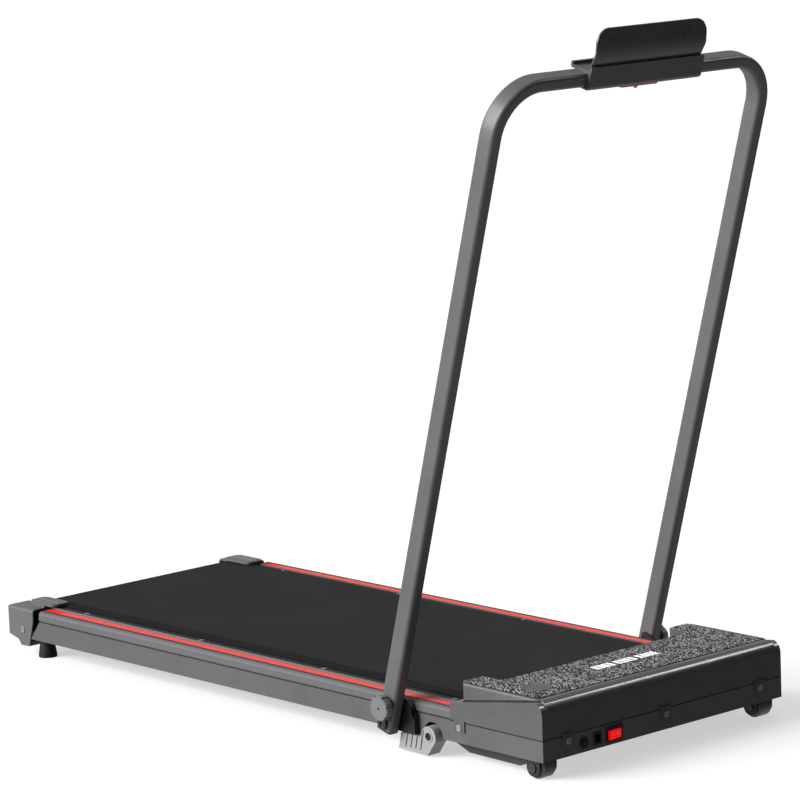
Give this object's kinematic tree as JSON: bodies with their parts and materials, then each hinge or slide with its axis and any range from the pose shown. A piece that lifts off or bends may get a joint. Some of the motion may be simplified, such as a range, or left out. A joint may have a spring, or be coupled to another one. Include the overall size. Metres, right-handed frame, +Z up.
{
  "type": "folding walking pad treadmill",
  "caption": "Low motorised walking pad with a flat belt between ribbed side rails, a winged motor hood, front wheels and a leaning fold-down handrail with a phone holder.",
  "frame": {"origin": "on the floor, under the centre of the object's bounding box", "axes": "+Y towards the rear end of the belt, -Y towards the hood and the handrail, +X to the right when seen from the rear, +Z up"},
  "size_m": [0.582, 1.2664, 1.0422],
  "materials": {
    "frame_paint": "satin grey-black paint",
    "inner_steel": "black paint",
    "rail_alu": "matt anodised grey",
    "strip_red": "ribbed red rubber with thin dark lines",
    "deck": "black laminated board",
    "cushion": "black rubber",
    "belt": "dark fine-grained tread belt",
    "bright_steel": "turned steel",
    "dark_steel": "blackened steel",
    "band": "black drive belt",
    "motor_paint": "black paint",
    "cast_alu": "die-cast aluminium",
    "circuit": "green circuit board with parts",
    "copper": "laminated core with copper windings",
    "pan": "black sheet",
    "hood": "glossy near-black moulding",
    "film": "grey film with a small triangle pattern",
    "display": "lit display block on its board",
    "black_plastic": "black plastic",
    "grille": "black slatted disc",
    "switch_red": "glossy red",
    "wheel": "dark grey wheel",
    "cap": "moulded grey plastic",
    "foot_rubber": "black rubber",
    "rail_paint": "satin dark grey paint",
    "knob": "grey plastic",
    "console": "black satin plastic",
    "key_red": "red plastic",
    "bracket_black": "black paint",
    "foot_grey": "grey plastic",
    "screw": "dark zinc"
  },
  "bodies": {
    "chassis": {"left_beam": "frame_paint", "right_beam": "frame_paint", "cross_members": "inner_steel", "front_panel": "frame_paint", "left_rail": "rail_alu", "right_rail": "rail_alu", "left_rail_strip": "strip_red", "right_rail_strip": "strip_red", "deck_board": "deck", "deck_cushions": "cushion", "running_belt": "belt", "roller_axles": "bright_steel", "roller_bearings": "bright_steel", "drive_belt": "band", "motor_housing": "motor_paint", "motor_end_cap": "cast_alu", "motor_mount": "inner_steel", "control_board": "circuit", "heat_sink": "cast_alu", "belly_pan": "pan", "hood_cover": "hood", "hood_panel": "film", "display_board": "display", "speaker": "black_plastic", "speaker_grille": "grille", "power_inlet": "black_plastic", "breaker_body": "black_plastic", "switch_housing": "black_plastic", "case_screws": "screw", "left_wheel_fork": "inner_steel", "right_wheel_fork": "inner_steel", "wheel_axles": "dark_steel", "left_rear_cap": "cap", "right_rear_cap": "cap", "tension_bolts": "screw", "rear_feet": "foot_rubber", "left_pivot_bracket": "bracket_black", "right_pivot_bracket": "bracket_black", "pivot_bolts": "dark_steel", "foot_pins": "bracket_black", "deck_screws": "screw"},
    "handrail": {"handrail_tube": "rail_paint", "tube_end_plugs": "black_plastic", "console_body": "console", "phone_plate": "console", "console_screws": "screw"},
    "left_knob": {"left_lock_knob": "knob"},
    "right_knob": {"right_lock_knob": "knob"},
    "stop_key": {"safety_key": "key_red"},
    "front_drum": {"front_roller": "bright_steel", "roller_pulley": "dark_steel"},
    "rear_drum": {"rear_roller": "bright_steel"},
    "rotor": {"motor_shaft": "copper", "motor_pulley": "dark_steel"},
    "left_front_wheel": {"left_wheel": "wheel"},
    "right_front_wheel": {"right_wheel": "wheel"},
    "left_foot": {"left_incline_foot": "foot_grey"},
    "right_foot": {"right_incline_foot": "foot_grey"},
    "breaker": {"breaker_button": "black_plastic"},
    "rocker": {"switch_rocker": "switch_red"}
  },
  "joints": [
    {"name": "handrail_fold", "type": "hinge", "parent": "chassis", "child": "handrail", "pos_m": [0, -0.32029, 0.04315], "axis": [-1, 0, 0], "range_deg": [0, 102]},
    {"name": "left_knob_turn", "type": "hinge", "parent": "handrail", "child": "left_knob", "pos_m": [-0.28, -0.32796, 0.06904], "axis": [-1, 0, 0], "continuous": true},
    {"name": "right_knob_turn", "type": "hinge", "parent": "handrail", "child": "right_knob", "pos_m": [0.28, -0.32796, 0.06904], "axis": [1, 0, 0], "continuous": true},
    {"name": "stop_key_pull", "type": "slide", "parent": "handrail", "child": "stop_key", "axis": [0, 0.284, -0.9588], "range_m": [0, 0.04]},
    {"name": "front_roll", "type": "hinge", "parent": "chassis", "child": "front_drum", "pos_m": [0, -0.51481, 0.0575], "axis": [1, 0, 0], "continuous": true},
    {"name": "rear_roll", "type": "hinge", "parent": "chassis", "child": "rear_drum", "pos_m": [0, 0.59219, 0.0575], "axis": [1, 0, 0], "continuous": true},
    {"name": "motor_spin", "type": "hinge", "parent": "chassis", "child": "rotor", "pos_m": [0, -0.57781, 0.064], "axis": [1, 0, 0], "continuous": true},
    {"name": "left_wheel_roll", "type": "hinge", "parent": "chassis", "child": "left_front_wheel", "pos_m": [-0.2225, -0.59281, 0.017], "axis": [1, 0, 0], "continuous": true},
    {"name": "right_wheel_roll", "type": "hinge", "parent": "chassis", "child": "right_front_wheel", "pos_m": [0.2225, -0.59281, 0.017], "axis": [1, 0, 0], "continuous": true},
    {"name": "left_foot_swing", "type": "hinge", "parent": "chassis", "child": "left_foot", "pos_m": [-0.24, -0.39281, 0.031], "axis": [-1, 0, 0], "range_deg": [0, 72]},
    {"name": "right_foot_swing", "type": "hinge", "parent": "chassis", "child": "right_foot", "pos_m": [0.24, -0.39281, 0.031], "axis": [-1, 0, 0], "range_deg": [0, 72]},
    {"name": "breaker_push", "type": "slide", "parent": "chassis", "child": "breaker", "axis": [0, -1, 0], "range_m": [0, 0.003]},
    {"name": "rocker_tip", "type": "hinge", "parent": "chassis", "child": "rocker", "pos_m": [-0.10475, -0.61741, 0.0435], "axis": [0, 0, -1], "range_deg": [0, 16]}
  ],
  "couplings": [
    {"joint": "rear_roll", "follows": "front_roll", "ratio": 1},
    {"joint": "motor_spin", "follows": "front_roll", "ratio": 2.3051}
  ]
}
